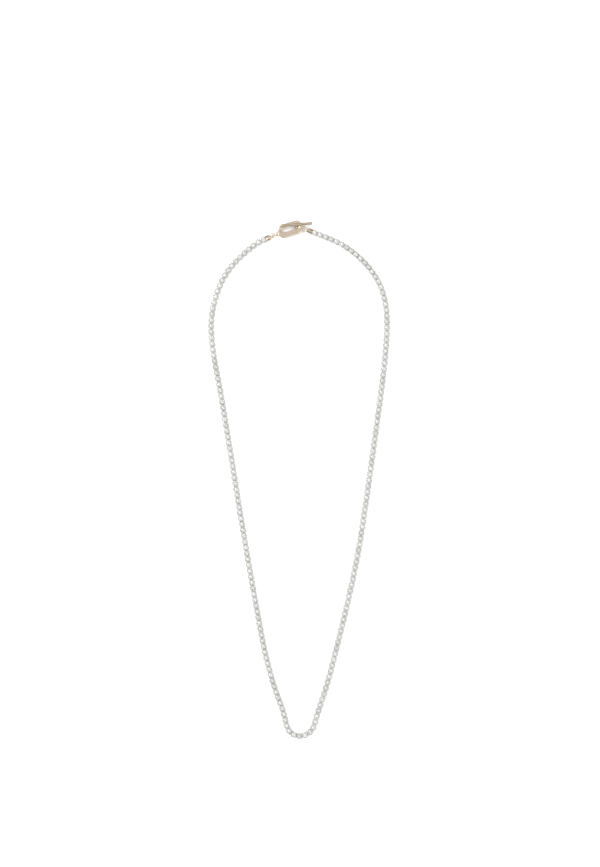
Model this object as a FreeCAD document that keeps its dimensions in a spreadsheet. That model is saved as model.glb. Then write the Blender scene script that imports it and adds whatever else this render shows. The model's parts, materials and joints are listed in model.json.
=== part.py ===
"""A long single-strand pearl necklace with a toggle clasp, lying flat in a loop.

Millimetres, +Z up, +Y towards the clasp, origin under the middle of the loop on the
surface that the necklace lies on.
"""
import math
import os

import FreeCAD
import Part
import Sketcher
from FreeCAD import Placement, Rotation, Vector

os.makedirs("parts", exist_ok=True)
doc = FreeCAD.newDocument("pearl_necklace")

# ---------------------------------------------------------------- driving dimensions
DIMENSIONS = {
    "pearl_diameter": 3.95,
    "pearl_bore": 0.8,
    "pearl_count": 185,
    "row_pearls": 9,
    "thread_diameter": 0.35,
    "cap_length": 3.3,
    "cap_diameter": 3.5,
    "cap_wall": 0.4,
    "cap_hole": 1.8,
    "crimp_length": 1.4,
    "crimp_diameter": 1.2,
    "crimp_bore": 0.39,
    "ring_wire": 0.6,
    "eye_wire": 0.7,
    "eye_size": 1.9,
    "left_ring_size": 2.4,
    "link_ring_size": 2.4,
    "bar_ring_width": 3.4,
    "link_length": 16.6,
    "link_width": 9.1,
    "link_corner": 3.4,
    "link_end_band": 1.95,
    "link_upper_rail": 2.9,
    "link_lower_rail": 3.7,
    "link_window_corner": 1.2,
    "link_thickness": 1.4,
    "link_underside": 1.9,
    "link_edge": 0.4,
    "bar_length": 22.0,
    "bar_diameter": 2.0,
    "bar_gap": 0.04,
    "bar_eye_size": 2.0,
    "bar_eye_wire": 0.6,
    "bar_eye_reach": 3.72,
    "stem_diameter": 0.8,
}

sheet = doc.addObject("Spreadsheet::Sheet", "dimensions")
for row, (name, value) in enumerate(DIMENSIONS.items(), start=1):
    sheet.set(f"A{row}", name)
    sheet.set(f"B{row}", str(value))
    sheet.setAlias(f"B{row}", name)
doc.recompute()


def dim(name):
    """The value of one cell of the sheet."""
    return float(getattr(sheet, name))


# ---------------------------------------------------------------- the strand's route
# Corner points of the thread, chosen by hand, from the left end cap round the bottom
# of the loop to the right end cap. Every corner is rounded as widely as its runs allow.
ROUTE = [
    (-22.3, 164.4),
    (-28.8, 161.6),
    (-42.5, 150.2),
    (-52.0, 138.0),
    (-58.0, 122.0),
    (-60.3, 107.0),
    (-59.2, 90.0),
    (-53.0, 57.0),
    (-46.0, 14.0),
    (-39.0, -30.0),
    (-31.5, -73.5),
    (-23.5, -117.0),
    (-17.4, -140.0),
    (-10.2, -158.6),
    (-7.2, -174.4),
    (8.4, -174.4),
    (12.6, -158.6),
    (19.0, -140.0),
    (30.5, -95.0),
    (40.2, -51.5),
    (46.6, -8.0),
    (52.6, 35.5),
    (57.6, 73.0),
    (59.8, 98.0),
    (59.9, 116.0),
    (56.2, 132.0),
    (46.5, 147.0),
    (32.0, 159.2),
    (20.0, 164.8),
    (8.6, 169.12),
]


def rounded_route(corners, height):
    """Straight runs joined by tangent arcs, each arc using half of its shorter run."""
    points = [Vector(x, y, height) for x, y in corners]
    edges = []
    start = points[0]
    for before, corner, after in zip(points, points[1:], points[2:]):
        back = before - corner
        ahead = after - corner
        reach = 0.5 * min(back.Length, ahead.Length)
        back.normalize()
        ahead.normalize()
        turn = math.pi - back.getAngle(ahead)
        radius = reach / math.tan(turn / 2)
        arc_start = corner + back * reach
        arc_end = corner + ahead * reach
        middle = back + ahead
        middle.normalize()
        arc_middle = corner + middle * (radius / math.cos(turn / 2) - radius)
        if (arc_start - start).Length > 0.001:
            edges.append(Part.LineSegment(start, arc_start).toShape())
        edges.append(Part.Arc(arc_start, arc_middle, arc_end).toShape())
        start = arc_end
    edges.append(Part.LineSegment(start, points[-1]).toShape())
    return edges


route_edges = rounded_route(ROUTE, dim("pearl_diameter") / 2)
route_length = sum(edge.Length for edge in route_edges)
pitch = route_length / dim("pearl_count")


def route_point(distance):
    """The point of the route at a distance along it from its left end."""
    for edge in route_edges:
        if distance <= edge.Length:
            return edge.valueAt(edge.getParameterByLength(distance))
        distance -= edge.Length
    last = route_edges[-1]
    return last.valueAt(last.LastParameter)


left_end = route_point(0)
left_out = Vector(ROUTE[0][0] - ROUTE[1][0], ROUTE[0][1] - ROUTE[1][1], 0).normalize()
right_end = route_point(route_length)
right_out = Vector(ROUTE[-1][0] - ROUTE[-2][0], ROUTE[-1][1] - ROUTE[-2][1], 0).normalize()

# Where the pieces of the clasp meet, along the line out of each end of the strand.
crimp_place = 0.9
eye_place = dim("cap_length") + 0.75
cap_rim = -0.35
hole_place = 1.85


# ---------------------------------------------------------------- helpers
def add(kind, name, **sizes):
    """A Part primitive whose sizes are bound to expressions of the sheet's cells."""
    item = doc.addObject(kind, name)
    for prop, formula in sizes.items():
        item.setExpression(prop, formula)
    return item


def cell(name):
    """How an expression names one cell."""
    return f"<<dimensions>>.{name}"


def turn_to(direction, side=None):
    """The rotation that takes local +X to direction, and +Z to side or near to +Z."""
    return Rotation(direction, Vector(), side or Vector(0, 0, 1), "XZY")


def new_sketch(body, name, plane):
    """A sketch on one of the body's own origin planes."""
    sketch = body.newObject("Sketcher::SketchObject", name)
    support = next(f for f in body.Origin.OriginFeatures if f.Role == plane)
    sketch.AttachmentSupport = [(support, "")]
    sketch.MapMode = "FlatFace"
    return sketch


def bind(sketch, constraint, name, formula):
    """Adds a named sketch constraint whose value is an expression."""
    index = sketch.addConstraint(constraint)
    sketch.renameConstraint(index, name)
    sketch.setExpression(f"Constraints.{name}", formula)


def rounded_rectangle(sketch, sizes, formulas):
    """A rectangle round the sketch's origin with four equal round corners.

    Its sizes are the length, the corner, and the reach above and below the origin.
    """
    length, corner, above, below = sizes
    x_in = length / 2 - corner
    top = above - corner
    foot = corner - below
    for quarter, (x, y) in enumerate([(x_in, top), (-x_in, top), (-x_in, foot), (x_in, foot)]):
        start = quarter * math.pi / 2
        circle = Part.Circle(Vector(x, y, 0), Vector(0, 0, 1), corner)
        sketch.addGeometry(Part.ArcOfCircle(circle, start, start + math.pi / 2), False)
    for quarter in range(4):
        following = (quarter + 1) % 4
        here = sketch.getPoint(quarter, 2)
        there = sketch.getPoint(following, 1)
        line = sketch.addGeometry(Part.LineSegment(here, there), False)
        sketch.addConstraint(Sketcher.Constraint("Tangent", quarter, 2, line, 1))
        sketch.addConstraint(Sketcher.Constraint("Tangent", line, 2, following, 1))
        side = "Horizontal" if quarter % 2 == 0 else "Vertical"
        sketch.addConstraint(Sketcher.Constraint(side, line))
    for quarter in range(1, 4):
        sketch.addConstraint(Sketcher.Constraint("Equal", 0, quarter))
    bind(sketch, Sketcher.Constraint("DistanceX", 5, 1, 7, 1, length), "length", formulas[0])
    bind(sketch, Sketcher.Constraint("DistanceX", -1, 1, 7, 1, length / 2), "half",
         f"({formulas[0]}) / 2")
    bind(sketch, Sketcher.Constraint("Radius", 0, corner), "corner", formulas[1])
    bind(sketch, Sketcher.Constraint("DistanceY", -1, 1, 4, 1, above), "above", formulas[2])
    bind(sketch, Sketcher.Constraint("DistanceY", 6, 1, -1, 1, below), "below", formulas[3])


# ---------------------------------------------------------------- pearls
def make_pearl_blank():
    """One drilled pearl at the origin, its bore along Z."""
    ball = add("Part::Sphere", "pearl_ball", Radius=cell("pearl_diameter") + " / 2")
    drill = add(
        "Part::Cylinder", "pearl_drill",
        Radius=cell("pearl_bore") + " / 2", Height=cell("pearl_diameter") + " * 1.2",
    )
    drill.Placement = Placement(Vector(0, 0, -0.6 * dim("pearl_diameter")), Rotation())
    blank = doc.addObject("Part::Cut", "pearl_blank")
    blank.Base = ball
    blank.Tool = drill
    doc.recompute()
    return blank


def threaded_pearl(blank, index):
    """A copy of the blank on the thread; its bore lies along the chord of the route."""
    middle = (index + 0.5) * pitch
    reach = dim("pearl_diameter") / 4
    start = route_point(middle - reach)
    end = route_point(middle + reach)
    pearl = blank.Shape.copy()
    pearl.Placement = Placement((start + end) * 0.5, Rotation(Vector(0, 0, 1), end - start))
    return pearl


def pearl_groups():
    """Node name to the numbers of its pearls, counted from the left end cap."""
    count = int(dim("pearl_count"))
    row = int(dim("row_pearls"))
    lowest = min(range(count), key=lambda index: route_point((index + 0.5) * pitch).y)
    beside = row // 2
    groups = {
        "bottom_centre_pearl": [lowest],
        "bottom_pearls": [
            index for index in range(lowest - beside, lowest + beside + 1) if index != lowest
        ],
    }
    left = lowest - beside - 1
    right = lowest + beside + 1
    level = 1
    while left - row > 0 and right + row < count - 1:
        groups[f"left_pearls_{level:02d}"] = list(range(left - row + 1, left + 1))
        groups[f"right_pearls_{level:02d}"] = list(range(right, right + row))
        left -= row
        right += row
        level += 1
    groups["left_top_pearls"] = list(range(1, left + 1))
    groups["left_end_pearl"] = [0]
    groups["right_top_pearls"] = list(range(right, count - 1))
    groups["right_end_pearl"] = [count - 1]
    return groups


def make_pearls():
    """Every group of pearls that stays together, each pearl a solid of its own."""
    blank = make_pearl_blank()
    nodes = []
    for name, indices in pearl_groups().items():
        node = doc.addObject("Part::Feature", name)
        pearls = [threaded_pearl(blank, index) for index in indices]
        node.Shape = pearls[0] if len(pearls) == 1 else Part.makeCompound(pearls)
        nodes.append(node)
    return nodes


# ---------------------------------------------------------------- thread
def route_stretch(start, end):
    """The edges of the route between two distances along it."""
    stretch = []
    passed = 0
    for edge in route_edges:
        begin = max(start - passed, 0)
        finish = min(end - passed, edge.Length)
        if finish - begin > 0.001:
            first = edge.getParameterByLength(begin)
            last = edge.getParameterByLength(finish)
            stretch.append(edge.Curve.toShape(first, last))
        passed += edge.Length
    return stretch


def sweep_round(name, edges, diameter_cell):
    """A round section swept along edges that follow on from each other."""
    spine = doc.addObject("Part::Feature", name + "_route")
    spine.Shape = Part.Wire(edges)
    start = edges[0]
    section = add("Part::Circle", name + "_section", Radius=cell(diameter_cell) + " / 2")
    section.Placement = Placement(
        start.valueAt(start.FirstParameter),
        Rotation(Vector(0, 0, 1), start.tangentAt(start.FirstParameter)),
    )
    swept = doc.addObject("Part::Sweep", name)
    swept.Sections = [section]
    swept.Spine = (spine, [f"Edge{n + 1}" for n in range(len(edges))])
    swept.Solid = True
    return swept


def make_thread():
    """The silk thread from crimp to crimp, parted at every crease where the strand bends."""
    tail = crimp_place + dim("crimp_length") / 2
    left_tail = Part.LineSegment(left_end + left_out * tail, left_end).toShape()
    right_tail = Part.LineSegment(right_end, right_end + right_out * tail).toShape()
    nodes = []
    for name, indices in pearl_groups().items():
        if len(indices) == 1:
            continue
        first = min(indices)
        last = max(indices)
        if name == "left_top_pearls":
            edges = [left_tail] + route_stretch(0, (last + 1) * pitch)
        elif name == "right_top_pearls":
            edges = route_stretch(first * pitch, route_length) + [right_tail]
        else:
            edges = route_stretch(first * pitch, (last + 1) * pitch)
        nodes.append(sweep_round(name.replace("pearls", "thread"), edges, "thread_diameter"))
    return nodes


# ---------------------------------------------------------------- end caps and crimps
def make_end_cap(name, end, out, hole_turn):
    """A turned cup over the end of the thread, with an upright wire eye on its closed end.

    The cup has one round hole in its side, turned by hole_turn degrees from straight up.
    """
    body = doc.addObject("PartDesign::Body", name)
    length = dim("cap_length")
    outer = dim("cap_diameter") / 2
    inner = outer - dim("cap_wall")
    floor = length - 2 * dim("cap_wall")
    shoulder = 0.5
    points = [
        (0, inner), (0, outer), (length - shoulder, outer), (length, outer - shoulder),
        (length, 0), (floor, 0), (floor, inner),
    ]
    sketch = new_sketch(body, name + "_profile", "XY_Plane")
    for here, there in zip(points, points[1:] + points[:1]):
        sketch.addGeometry(Part.LineSegment(Vector(*here, 0), Vector(*there, 0)), False)
    for line in range(len(points)):
        following = (line + 1) % len(points)
        sketch.addConstraint(Sketcher.Constraint("Coincident", line, 2, following, 1))
    for line in (0, 3, 5):
        sketch.addConstraint(Sketcher.Constraint("Vertical", line))
    for line in (1, 4, 6):
        sketch.addConstraint(Sketcher.Constraint("Horizontal", line))
    sketch.addConstraint(Sketcher.Constraint("PointOnObject", 0, 1, -2))
    sketch.addConstraint(Sketcher.Constraint("PointOnObject", 4, 1, -1))
    wall = cell("cap_wall")
    half = cell("cap_diameter") + " / 2"
    full = cell("cap_length")
    bind(sketch, Sketcher.Constraint("DistanceY", -1, 1, 0, 2, outer), "outer", half)
    bind(sketch, Sketcher.Constraint("DistanceY", 0, 1, 0, 2, outer - inner), "wall", wall)
    bind(sketch, Sketcher.Constraint("DistanceX", -1, 1, 4, 1, length), "length", full)
    bind(sketch, Sketcher.Constraint("DistanceX", -1, 1, 5, 1, floor), "depth",
         f"{full} - 2 * {wall}")
    sketch.addConstraint(Sketcher.Constraint("DistanceX", 2, 1, 2, 2, shoulder))
    sketch.addConstraint(Sketcher.Constraint("DistanceY", 2, 2, 2, 1, shoulder))
    turned = body.newObject("PartDesign::Revolution", name + "_cup")
    turned.Profile = sketch
    turned.ReferenceAxis = (sketch, ["H_Axis"])
    turned.Angle = 360
    eye = body.newObject("PartDesign::AdditiveTorus", name + "_eye")
    eye.setExpression("Radius1", cell("eye_size") + " / 2")
    eye.setExpression("Radius2", cell("eye_wire") + " / 2")
    eye.AttachmentOffset = Placement(
        Vector(eye_place - cap_rim, 0, 0), Rotation(Vector(1, 0, 0), 90)
    )
    support = next(f for f in body.Origin.OriginFeatures if f.Role == "XY_Plane")
    eye.AttachmentSupport = [(support, "")]
    eye.MapMode = "FlatFace"
    hole = body.newObject("PartDesign::SubtractiveCylinder", name + "_hole")
    hole.setExpression("Radius", cell("cap_hole") + " / 2")
    hole.setExpression("Height", half + " * 1.2")
    hole.AttachmentOffset = Placement(
        Vector(hole_place, 0, 0), Rotation(Vector(1, 0, 0), hole_turn)
    )
    hole.AttachmentSupport = [(support, "")]
    hole.MapMode = "FlatFace"
    body.Placement = Placement(end + out * cap_rim, turn_to(out))
    return body


def make_crimp(name, end, out):
    """The crimp bead that holds the end of the thread inside the cap."""
    length = cell("crimp_length")
    tube = add("Part::Cylinder", name + "_tube",
               Radius=cell("crimp_diameter") + " / 2", Height=length)
    bore = add("Part::Cylinder", name + "_bore",
               Radius=cell("crimp_bore") + " / 2", Height=length)
    bead = doc.addObject("Part::Cut", name)
    bead.Base = tube
    bead.Tool = bore
    start = end + out * (crimp_place - dim("crimp_length") / 2)
    bead.Placement = Placement(start, Rotation(Vector(0, 0, 1), out))
    return bead


# ---------------------------------------------------------------- jump rings
def make_ring(name, size_cell, centre, axis):
    """A closed jump ring of round wire; its size is measured across the wire's middle."""
    ring = add("Part::Torus", name, Radius1=cell(size_cell) + " / 2",
               Radius2=cell("ring_wire") + " / 2")
    ring.Placement = Placement(centre, Rotation(Vector(0, 0, 1), axis))
    return ring


# ---------------------------------------------------------------- toggle link
# The link lies flat, turned by LINK_TILT degrees. Its lug stands LUG_REACH out from the
# left end and LUG_OFFSET from the middle of it, in the far end of the second small ring.
LINK_TILT = 17.0
LUG_REACH = 0.95
LUG_OFFSET = -0.4
LUG_HEIGHT = 2.25
LEFT_RING_HEIGHT = 2.1
RING_OVERLAP = 0.7
link_axis = Rotation(Vector(0, 0, 1), LINK_TILT).multVec(Vector(1, 0, 0))
left_eye = left_end + left_out * eye_place
left_reach = dim("left_ring_size") + dim("link_ring_size") - RING_OVERLAP
lug_point = left_eye + left_out * left_reach
lug_point.z = LUG_HEIGHT
link_side = Vector(0, 0, 1).cross(link_axis)
link_centre = lug_point + link_axis * (LUG_REACH + dim("link_length") / 2)
link_centre -= link_side * LUG_OFFSET
link_centre.z = dim("link_underside") + dim("link_thickness") / 2


def make_toggle_link():
    """The flat oblong link that the bar is passed through, with a lug on its left end."""
    body = doc.addObject("PartDesign::Body", "toggle_link")
    length = dim("link_length")
    half = dim("link_width") / 2
    corner = dim("link_corner")
    names = [cell("link_length"), cell("link_corner")]
    half_name = cell("link_width") + " / 2"
    outline = new_sketch(body, "link_outline", "XY_Plane")
    rounded_rectangle(outline, (length, corner, half, half), names + [half_name, half_name])
    pad = body.newObject("PartDesign::Pad", "link_plate")
    pad.Profile = outline
    pad.setExpression("Length", cell("link_thickness"))
    pad.Midplane = True
    window = new_sketch(body, "link_window", "XY_Plane")
    band = dim("link_end_band")
    upper = dim("link_upper_rail")
    lower = dim("link_lower_rail")
    rounded_rectangle(
        window, (length - 2 * band, dim("link_window_corner"), half - upper, half - lower),
        [
            f"{names[0]} - 2 * {cell('link_end_band')}",
            cell("link_window_corner"),
            f"{half_name} - {cell('link_upper_rail')}",
            f"{half_name} - {cell('link_lower_rail')}",
        ],
    )
    pocket = body.newObject("PartDesign::Pocket", "link_opening")
    pocket.Profile = window
    pocket.Type = "ThroughAll"
    pocket.Midplane = True
    doc.recompute()
    rims = [
        f"Edge{n + 1}" for n, edge in enumerate(pocket.Shape.Edges)
        if abs(edge.BoundBox.ZLength) < 0.001
    ]
    rounded = body.newObject("PartDesign::Fillet", "link_edges")
    rounded.Base = (pocket, rims)
    rounded.setExpression("Radius", cell("link_edge"))
    lug = body.newObject("PartDesign::AdditiveTorus", "link_lug")
    lug.setExpression("Radius1", cell("eye_size") + " / 2")
    lug.setExpression("Radius2", cell("eye_wire") + " / 2")
    support = next(f for f in body.Origin.OriginFeatures if f.Role == "XY_Plane")
    lug.AttachmentSupport = [(support, "")]
    lug.MapMode = "FlatFace"
    lug.AttachmentOffset = Placement(
        Vector(-LUG_REACH - length / 2, LUG_OFFSET, LUG_HEIGHT - link_centre.z), Rotation()
    )
    body.Placement = Placement(link_centre, turn_to(link_axis))
    return body


# ---------------------------------------------------------------- toggle bar
# The bar lies on the link's upper face. BAR_TILT is its turn on the table and BAR_ROLL
# the lean of its stem, which brings the eye down into the ring below the link.
BAR_TILT = 4.0
BAR_ROLL = 33.1
BAR_RING_LIFT = 1.78
bar_turn = Rotation(Vector(0, 0, 1), BAR_TILT).multiply(Rotation(Vector(1, 0, 0), -BAR_ROLL))
bar_centre = Vector(
    -1.6, 173.8,
    dim("link_underside") + dim("link_thickness") + dim("bar_gap") + dim("bar_diameter") / 2,
)
bar_eye = bar_centre + bar_turn.multVec(Vector(0, 0, -dim("bar_eye_reach")))


def make_toggle_bar():
    """The T-bar: a round bar with rounded ends, and an eye on a short stem."""
    rod = add("Part::Cylinder", "bar_rod", Radius=cell("bar_diameter") + " / 2",
              Height=cell("bar_length"))
    rod.Placement = Placement(Vector(-dim("bar_length") / 2, 0, 0), Rotation(Vector(0, 1, 0), 90))
    doc.recompute()
    ends = doc.addObject("Part::Fillet", "bar_ends")
    ends.Base = rod
    radius = dim("bar_diameter") / 2 * 0.75
    ends.Edges = [
        (n + 1, radius, radius) for n, edge in enumerate(rod.Shape.Edges)
        if edge.BoundBox.XLength < 0.001
    ]
    stem = add(
        "Part::Cylinder", "bar_stem", Radius=cell("stem_diameter") + " / 2",
        Height=f"{cell('bar_eye_reach')} - {cell('bar_eye_size')} / 2",
    )
    stem.Placement = Placement(Vector(), Rotation(Vector(1, 0, 0), 180))
    eye = add("Part::Torus", "bar_eye", Radius1=cell("bar_eye_size") + " / 2",
              Radius2=cell("bar_eye_wire") + " / 2")
    eye.Placement = Placement(
        Vector(0, 0, -dim("bar_eye_reach")), Rotation(Vector(1, 0, 0), 90)
    )
    bar = doc.addObject("Part::MultiFuse", "toggle_bar")
    bar.Shapes = [ends, stem, eye]
    bar.Placement = Placement(bar_centre, bar_turn)
    return bar


# ---------------------------------------------------------------- assembly
def make_bar_ring():
    """The long jump ring that joins the bar's eye to the right cap's eye under the link."""
    near = Vector(bar_eye)
    far = right_end + right_out * eye_place
    far.z = BAR_RING_LIFT
    along = (far - near).normalize()
    side = Vector(0, 0, 1).cross(along).normalize()
    radius = dim("bar_ring_width") / 2
    first = near + along * radius
    last = far - along * radius
    edges = [
        Part.LineSegment(first - side * radius, last - side * radius).toShape(),
        Part.Arc(last - side * radius, far, last + side * radius).toShape(),
        Part.LineSegment(last + side * radius, first + side * radius).toShape(),
        Part.Arc(first + side * radius, near, first - side * radius).toShape(),
    ]
    return sweep_round("bar_jump_ring", edges, "ring_wire")


def make_clasp_rings():
    """The two small jump rings on the link's lug, and the long one on the bar's eye."""
    left_centre = left_eye + left_out * (dim("left_ring_size") / 2)
    left_centre.z = LEFT_RING_HEIGHT
    left_ring = make_ring("left_jump_ring", "left_ring_size", left_centre, Vector(0, 0, 1))

    link_ring_centre = lug_point - left_out * (dim("link_ring_size") / 2)
    link_ring_centre.z = LEFT_RING_HEIGHT
    across = left_out.cross(Vector(0, 0, 1))
    link_ring = make_ring("link_jump_ring", "link_ring_size", link_ring_centre, across)
    return [left_ring, link_ring, make_bar_ring()]


nodes = make_pearls()
nodes.extend(make_thread())
nodes.append(make_end_cap("left_end_cap", left_end, left_out, 50))
nodes.append(make_end_cap("right_end_cap", right_end, right_out, 180))
nodes.append(make_crimp("left_crimp", left_end, left_out))
nodes.append(make_crimp("right_crimp", right_end, right_out))
nodes.extend(make_clasp_rings())
nodes.append(make_toggle_link())
nodes.append(make_toggle_bar())
doc.recompute()

for item in doc.Objects:
    if "Invalid" in item.State or "Error" in item.State:
        raise RuntimeError(f"{item.Label} failed to build: {item.State}")
for node in nodes:
    if node.Shape.isNull() or not node.Shape.isValid():
        raise RuntimeError(f"{node.Label} has no valid shape")
    node.Shape.exportStep(f"parts/{node.Label}.step")
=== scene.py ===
"""Looks of the pearl necklace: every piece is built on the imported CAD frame, in metres."""
import json
import math
import random

import bpy
from mathutils import Matrix, Vector, noise


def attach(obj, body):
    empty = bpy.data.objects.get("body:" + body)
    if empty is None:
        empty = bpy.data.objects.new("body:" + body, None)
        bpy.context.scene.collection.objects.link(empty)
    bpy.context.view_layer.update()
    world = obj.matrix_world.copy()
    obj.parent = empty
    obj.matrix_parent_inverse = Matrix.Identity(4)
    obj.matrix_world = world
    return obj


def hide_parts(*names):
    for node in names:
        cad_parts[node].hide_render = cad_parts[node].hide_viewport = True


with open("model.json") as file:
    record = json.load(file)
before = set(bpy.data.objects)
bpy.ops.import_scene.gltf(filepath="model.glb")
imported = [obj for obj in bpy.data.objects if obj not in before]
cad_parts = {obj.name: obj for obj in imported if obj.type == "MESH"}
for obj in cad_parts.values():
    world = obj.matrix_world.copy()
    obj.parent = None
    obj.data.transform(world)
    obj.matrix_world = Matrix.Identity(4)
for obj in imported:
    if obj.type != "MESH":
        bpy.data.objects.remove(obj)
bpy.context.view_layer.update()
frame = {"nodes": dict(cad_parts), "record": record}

# ---------------------------------------------------------------- sizes, in metres
PEARL_RADIUS = 0.001975
BORE_RADIUS = 0.0004
PEARL_SIDES = 40
PEARL_STEPS = 22
# The ball ends in a mouth a little wider than the bore. The bore's wall is drawn from
# BORE_START, a height over the pearl's middle, down to BORE_SEEN.
MOUTH_FLARE = 1.25
BORE_START = 0.955 * PEARL_RADIUS
BORE_SEEN = 0.55 * PEARL_RADIUS
SLIMMEST_BALL = 1.8 * PEARL_RADIUS
# Off-roundness: how close the lumps are, per radius, and how deep, as a share of it.
LUMPS = 0.9
LUMP_DEPTH = 0.012


# ---------------------------------------------------------------- node helpers
def node_adder(tree):
    """A function that adds a node to the tree and sets the node's own properties."""
    def add(kind, **values):
        node = tree.nodes.new(kind)
        for key, value in values.items():
            setattr(node, key, value)
        return node

    return add


def new_material(name):
    """A material, its Principled shader, and the functions that add and link its nodes."""
    material = bpy.data.materials.new(name)
    material.use_nodes = True
    tree = material.node_tree
    return material, tree.nodes["Principled BSDF"], node_adder(tree), tree.links.new


def tune(node, settings):
    """Sets the inputs of a node from a dictionary of names and values."""
    for name, value in settings.items():
        node.inputs[name].default_value = value


def ramp(add, stops):
    """A colour ramp through (position, colour) stops."""
    node = add("ShaderNodeValToRGB")
    elements = node.color_ramp.elements
    while len(elements) < len(stops):
        elements.new(0.5)
    for element, (position, colour) in zip(elements, stops):
        element.position = position
        element.color = (*colour, 1.0)
    return node


# ---------------------------------------------------------------- materials
def pearl_material():
    """Nacre: a body colour that differs from pearl to pearl, cloudy growth, soft lustre."""
    material, shader, add, link = new_material("nacre")
    place = add("ShaderNodeTexCoord")
    tone = add("ShaderNodeAttribute", attribute_name="pearl_tone")
    body = ramp(add, [
        (0.0, (0.62, 0.615, 0.59)),
        (0.35, (0.68, 0.68, 0.66)),
        (0.7, (0.73, 0.73, 0.715)),
        (1.0, (0.70, 0.69, 0.675)),
    ])
    link(tone.outputs["Fac"], body.inputs["Fac"])
    clouds = add("ShaderNodeTexNoise")
    tune(clouds, {"Scale": 700.0, "Detail": 3.0})
    link(place.outputs["Object"], clouds.inputs["Vector"])
    shade = ramp(add, [(0.3, (0.90, 0.90, 0.88)), (0.7, (1.0, 1.0, 1.0))])
    link(clouds.outputs["Fac"], shade.inputs["Fac"])
    mix = add("ShaderNodeMix", data_type="RGBA", blend_type="MULTIPLY")
    tune(mix, {"Factor": 1.0})
    link(body.outputs["Color"], mix.inputs["A"])
    link(shade.outputs["Color"], mix.inputs["B"])
    link(mix.outputs["Result"], shader.inputs["Base Color"])
    fine = add("ShaderNodeTexNoise")
    tune(fine, {"Scale": 2400.0, "Detail": 2.0})
    link(place.outputs["Object"], fine.inputs["Vector"])
    gloss = add("ShaderNodeMapRange")
    tune(gloss, {"To Min": 0.16, "To Max": 0.26})
    link(fine.outputs["Fac"], gloss.inputs["Value"])
    link(gloss.outputs["Result"], shader.inputs["Roughness"])
    skin = add("ShaderNodeBump")
    tune(skin, {"Strength": 0.08, "Distance": 0.00004})
    link(clouds.outputs["Fac"], skin.inputs["Height"])
    link(skin.outputs["Normal"], shader.inputs["Normal"])
    tune(shader, {
        "IOR": 1.56,
        "Subsurface Weight": 0.25,
        "Subsurface Radius": (0.0011, 0.0010, 0.0009),
        "Subsurface Scale": 1.0,
        "Coat Weight": 1.0,
        "Coat Roughness": 0.15,
        "Coat IOR": 1.7,
        "Sheen Weight": 0.12,
        "Sheen Roughness": 0.4,
    })
    return material


def gold_material():
    """Polished pale champagne gold with faint polishing marks."""
    material, shader, add, link = new_material("champagne_gold")
    place = add("ShaderNodeTexCoord")
    wear = add("ShaderNodeTexNoise")
    tune(wear, {"Scale": 260.0, "Detail": 4.0})
    link(place.outputs["Object"], wear.inputs["Vector"])
    colour = ramp(add, [(0.3, (0.84, 0.69, 0.52)), (0.7, (0.93, 0.79, 0.62))])
    link(wear.outputs["Fac"], colour.inputs["Fac"])
    link(colour.outputs["Color"], shader.inputs["Base Color"])
    marks = add("ShaderNodeTexNoise")
    tune(marks, {"Scale": 3500.0, "Detail": 2.0})
    link(place.outputs["Object"], marks.inputs["Vector"])
    gloss = add("ShaderNodeMapRange")
    tune(gloss, {"To Min": 0.10, "To Max": 0.20})
    link(marks.outputs["Fac"], gloss.inputs["Value"])
    link(gloss.outputs["Result"], shader.inputs["Roughness"])
    tune(shader, {"Metallic": 1.0})
    return material


def silk_material():
    """White silk bead cord: a fine twist along the thread."""
    material, shader, add, link = new_material("silk")
    place = add("ShaderNodeTexCoord")
    twist = add("ShaderNodeTexWave", bands_direction="DIAGONAL")
    tune(twist, {"Scale": 900.0, "Distortion": 1.5})
    link(place.outputs["Object"], twist.inputs["Vector"])
    colour = ramp(add, [(0.0, (0.62, 0.60, 0.55)), (1.0, (0.86, 0.84, 0.80))])
    link(twist.outputs["Fac"], colour.inputs["Fac"])
    link(colour.outputs["Color"], shader.inputs["Base Color"])
    tune(shader, {"Roughness": 0.75, "Sheen Weight": 0.4})
    return material


# ---------------------------------------------------------------- reading the frame
def islands(mesh):
    """The vertex sets of a mesh's separate solids, in the order of their first vertices."""
    parent = list(range(len(mesh.vertices)))

    def root(index):
        while parent[index] != index:
            parent[index] = parent[parent[index]]
            index = parent[index]
        return index

    for edge in mesh.edges:
        a, b = (root(v) for v in edge.vertices)
        if a != b:
            parent[max(a, b)] = min(a, b)
    groups = {}
    for index in range(len(parent)):
        groups.setdefault(root(index), []).append(index)
    return list(groups.values())


def pearl_centres(node):
    """The centres of a node's pearls: the middle of the box round each ball.

    A set much slimmer than a ball, such as the wall of a bore, is left out.
    """
    mesh = frame["nodes"][node].data
    centres = []
    for group in islands(mesh):
        points = [mesh.vertices[index].co for index in group]
        low = Vector([min(p[k] for p in points) for k in range(3)])
        high = Vector([max(p[k] for p in points) for k in range(3)])
        if min(high - low) > SLIMMEST_BALL:
            centres.append((low + high) / 2)
    return centres


def walk_strand():
    """Every pearl in order from the left end cap, each the nearest to the one before."""
    loose = [
        (centre, node) for node in frame["nodes"] if "pearl" in node
        for centre in pearl_centres(node)
    ]
    here = next(pearl for pearl in loose if pearl[1] == "left_end_pearl")
    ordered = []
    while True:
        ordered.append(here)
        loose.remove(here)
        if not loose:
            return ordered
        here = min(loose, key=lambda pearl: (pearl[0] - ordered[-1][0]).length)


body_of_node = {
    node: body
    for body, nodes in frame["record"]["behaviour"]["bodies"].items()
    for node in nodes
}


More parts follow.
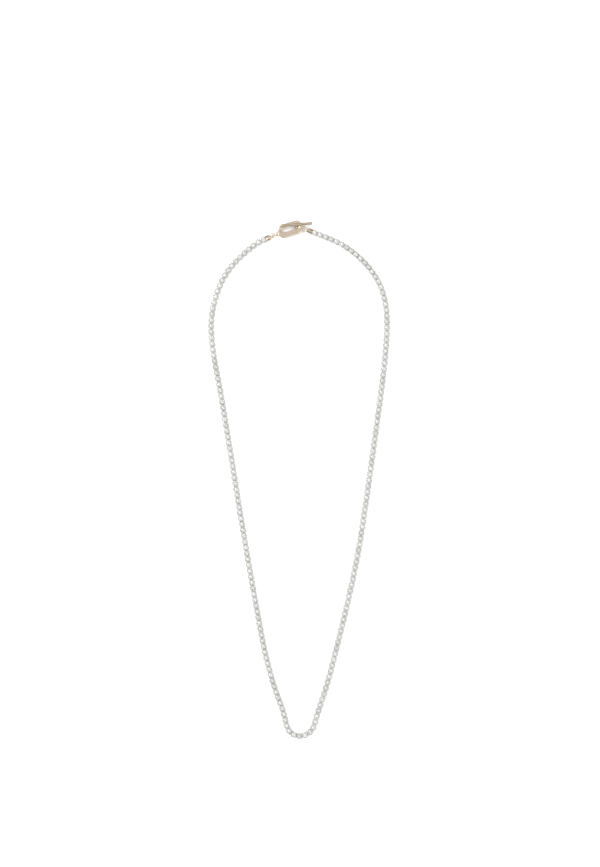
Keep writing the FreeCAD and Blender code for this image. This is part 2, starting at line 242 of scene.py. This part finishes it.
# ---------------------------------------------------------------- pearls
def pearl_profile():
    """(radius, height) points from one mouth of the bore round the ball to the other."""
    mouth = math.asin(MOUTH_FLARE * BORE_RADIUS / PEARL_RADIUS)
    points = [(BORE_RADIUS, BORE_SEEN), (BORE_RADIUS, BORE_START)]
    for step in range(PEARL_STEPS + 1):
        angle = mouth + (math.pi - 2 * mouth) * step / PEARL_STEPS
        points.append((PEARL_RADIUS * math.sin(angle), PEARL_RADIUS * math.cos(angle)))
    points.append((BORE_RADIUS, -BORE_START))
    points.append((BORE_RADIUS, -BORE_SEEN))
    return points


def add_pearl(vertices, faces, tones, centre, along, rng):
    """Adds one slightly off-round drilled pearl to the lists of a mesh."""
    profile = pearl_profile()
    turn = along.to_track_quat("Z", "Y").to_matrix()
    spin = Matrix.Rotation(rng.uniform(0, 2 * math.pi), 3, "Z")
    seed = Vector((rng.uniform(0, 50), rng.uniform(0, 50), rng.uniform(0, 50)))
    tone = rng.random()
    first = len(vertices)
    for radius, height in profile:
        for side in range(PEARL_SIDES):
            angle = 2 * math.pi * side / PEARL_SIDES
            point = Vector((radius * math.cos(angle), radius * math.sin(angle), height))
            lump = noise.noise(point / PEARL_RADIUS * LUMPS + seed)
            point *= 1 - LUMP_DEPTH * abs(lump)
            vertices.append(centre + turn @ spin @ point)
            tones.append(tone)
    for ring in range(len(profile) - 1):
        for side in range(PEARL_SIDES):
            following = (side + 1) % PEARL_SIDES
            a = first + ring * PEARL_SIDES
            b = a + PEARL_SIDES
            faces.append((a + side, b + side, b + following, a + following))


def make_pearls(strand, material):
    """One fine mesh for each pearl node, with a tone of its own for each pearl."""
    rng = random.Random(7)
    made = {}
    for index, (centre, node) in enumerate(strand):
        before = strand[max(index - 1, 0)][0]
        after = strand[min(index + 1, len(strand) - 1)][0]
        lists = made.setdefault(node, ([], [], []))
        add_pearl(*lists, centre, (after - before).normalized(), rng)
    for node, (vertices, faces, tones) in made.items():
        mesh = bpy.data.meshes.new(node + "_nacre")
        mesh.from_pydata(vertices, [], faces)
        mesh.shade_smooth()
        tone = mesh.attributes.new("pearl_tone", "FLOAT", "POINT")
        tone.data.foreach_set("value", tones)
        mesh.materials.append(material)
        piece = bpy.data.objects.new(node + "_nacre", mesh)
        bpy.context.collection.objects.link(piece)
        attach(piece, body_of_node[node])
        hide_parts(node)


# ---------------------------------------------------------------- thread and metal
def finish_nodes(slot, material):
    """Every node of a slot keeps its CAD shape and takes the material."""
    for entry in frame["record"]["subparts"]:
        if entry["material_slot"] == slot:
            mesh = frame["nodes"][entry["node"]].data
            mesh.materials.clear()
            mesh.materials.append(material)


# ---------------------------------------------------------------- stage
VIEW_HEIGHT = 0.591
VIEW_CENTRE = Vector((0.0007, 0.0317, 0.0))
LENS = 85.0
SENSOR = 36.0
EXPOSURE = -1.58
TABLE_SIZE = 60.0
TABLE_GLOW = 4.6
# The table's glow fades within SHADE_REACH of a piece: a painted soft contact shadow.
SHADE_REACH = 0.004
SHADE_POWER = 2.0
SKY_STRENGTH = 2.0
BACKDROP = (4.5, 4.5, 4.5, 1.0)


def table_material():
    """A white table top that is burnt out to white for the camera, with a painted contact
    shadow close to a piece.
    """
    material, shader, add, link = new_material("white_table")
    place = add("ShaderNodeTexCoord")
    grain = add("ShaderNodeTexNoise")
    tune(grain, {"Scale": 40.0})
    link(place.outputs["Object"], grain.inputs["Vector"])
    colour = ramp(add, [(0.3, (0.66, 0.66, 0.66)), (0.7, (0.68, 0.68, 0.68))])
    link(grain.outputs["Fac"], colour.inputs["Fac"])
    link(colour.outputs["Color"], shader.inputs["Base Color"])
    link(colour.outputs["Color"], shader.inputs["Emission Color"])
    seen = add("ShaderNodeLightPath")
    # Ambient occlusion dims the camera-only glow near a piece: this is painted contact shadow,
    # not a cast one.
    clear = add("ShaderNodeAmbientOcclusion")
    tune(clear, {"Distance": SHADE_REACH})
    painted_contact_shadow = add("ShaderNodeMath", operation="POWER")
    painted_contact_shadow.inputs[1].default_value = SHADE_POWER
    link(clear.outputs["AO"], painted_contact_shadow.inputs[0])
    glow = add("ShaderNodeMath", operation="MULTIPLY")
    glow.inputs[1].default_value = TABLE_GLOW
    link(painted_contact_shadow.outputs["Value"], glow.inputs[0])
    burn = add("ShaderNodeMath", operation="MULTIPLY")
    link(seen.outputs["Is Camera Ray"], burn.inputs[0])
    link(glow.outputs["Value"], burn.inputs[1])
    link(burn.outputs["Value"], shader.inputs["Emission Strength"])
    tune(shader, {"Roughness": 0.9, "Specular IOR Level": 0.1})
    return material


def make_table():
    """The wide table top under the necklace."""
    bpy.ops.mesh.primitive_plane_add(size=TABLE_SIZE, location=(0, 0, 0))
    table = bpy.context.object
    table.name = "table"
    table.data.materials.append(table_material())
    return table


def area_light(name, place, size, power):
    """A round soft light that faces the middle of the view."""
    lamp = bpy.data.lights.new(name, "AREA")
    lamp.shape = "DISK"
    lamp.size = size
    lamp.energy = power
    item = bpy.data.objects.new(name, lamp)
    bpy.context.collection.objects.link(item)
    item.location = place
    item.rotation_euler = (VIEW_CENTRE - Vector(place)).to_track_quat("-Z", "Y").to_euler()
    return item


def make_sky():
    """Light from all round, bright overhead and dark at the horizon, on a white backdrop."""
    world = bpy.data.worlds.new("studio")
    world.use_nodes = True
    tree = world.node_tree
    add = node_adder(tree)
    link = tree.links.new
    place = add("ShaderNodeTexCoord")
    split = add("ShaderNodeSeparateXYZ")
    link(place.outputs["Generated"], split.inputs["Vector"])
    sky = ramp(add, [
        (0.0, (0.26, 0.25, 0.24)),
        (0.45, (0.36, 0.35, 0.34)),
        (0.75, (0.62, 0.62, 0.62)),
        (0.92, (0.96, 0.96, 0.96)),
    ])
    link(split.outputs["Z"], sky.inputs["Fac"])
    seen = add("ShaderNodeLightPath")
    wall = add("ShaderNodeMix", data_type="RGBA")
    wall.inputs["B"].default_value = BACKDROP
    link(seen.outputs["Is Camera Ray"], wall.inputs["Factor"])
    link(sky.outputs["Color"], wall.inputs["A"])
    background = tree.nodes["Background"]
    link(wall.outputs["Result"], background.inputs["Color"])
    tune(background, {"Strength": SKY_STRENGTH})
    bpy.context.scene.world = world


def make_camera():
    """A camera straight above the necklace, and the picture's exposure."""
    camera = bpy.data.objects.new("camera", bpy.data.cameras.new("camera"))
    bpy.context.collection.objects.link(camera)
    camera.data.lens = LENS
    camera.data.sensor_fit = "VERTICAL"
    camera.data.sensor_height = SENSOR
    distance = VIEW_HEIGHT / 2 / (SENSOR / 2 / LENS)
    camera.location = VIEW_CENTRE + Vector((0, 0, distance))
    bpy.context.scene.camera = camera
    bpy.context.scene.view_settings.view_transform = "Standard"
    bpy.context.scene.view_settings.exposure = EXPOSURE
    return camera


def make_stage():
    """Table, soft lights, sky and camera."""
    table = make_table()
    key = area_light("key_light", place=(-0.65, 0.50, 1.30), size=0.6, power=46.0)
    fill = area_light("fill_light", place=(0.9, -0.7, 1.3), size=1.4, power=38.0)
    make_sky()
    camera = make_camera()


strand = walk_strand()
make_pearls(strand, pearl_material())
finish_nodes("silk", silk_material())
finish_nodes("gold", gold_material())
make_stage()
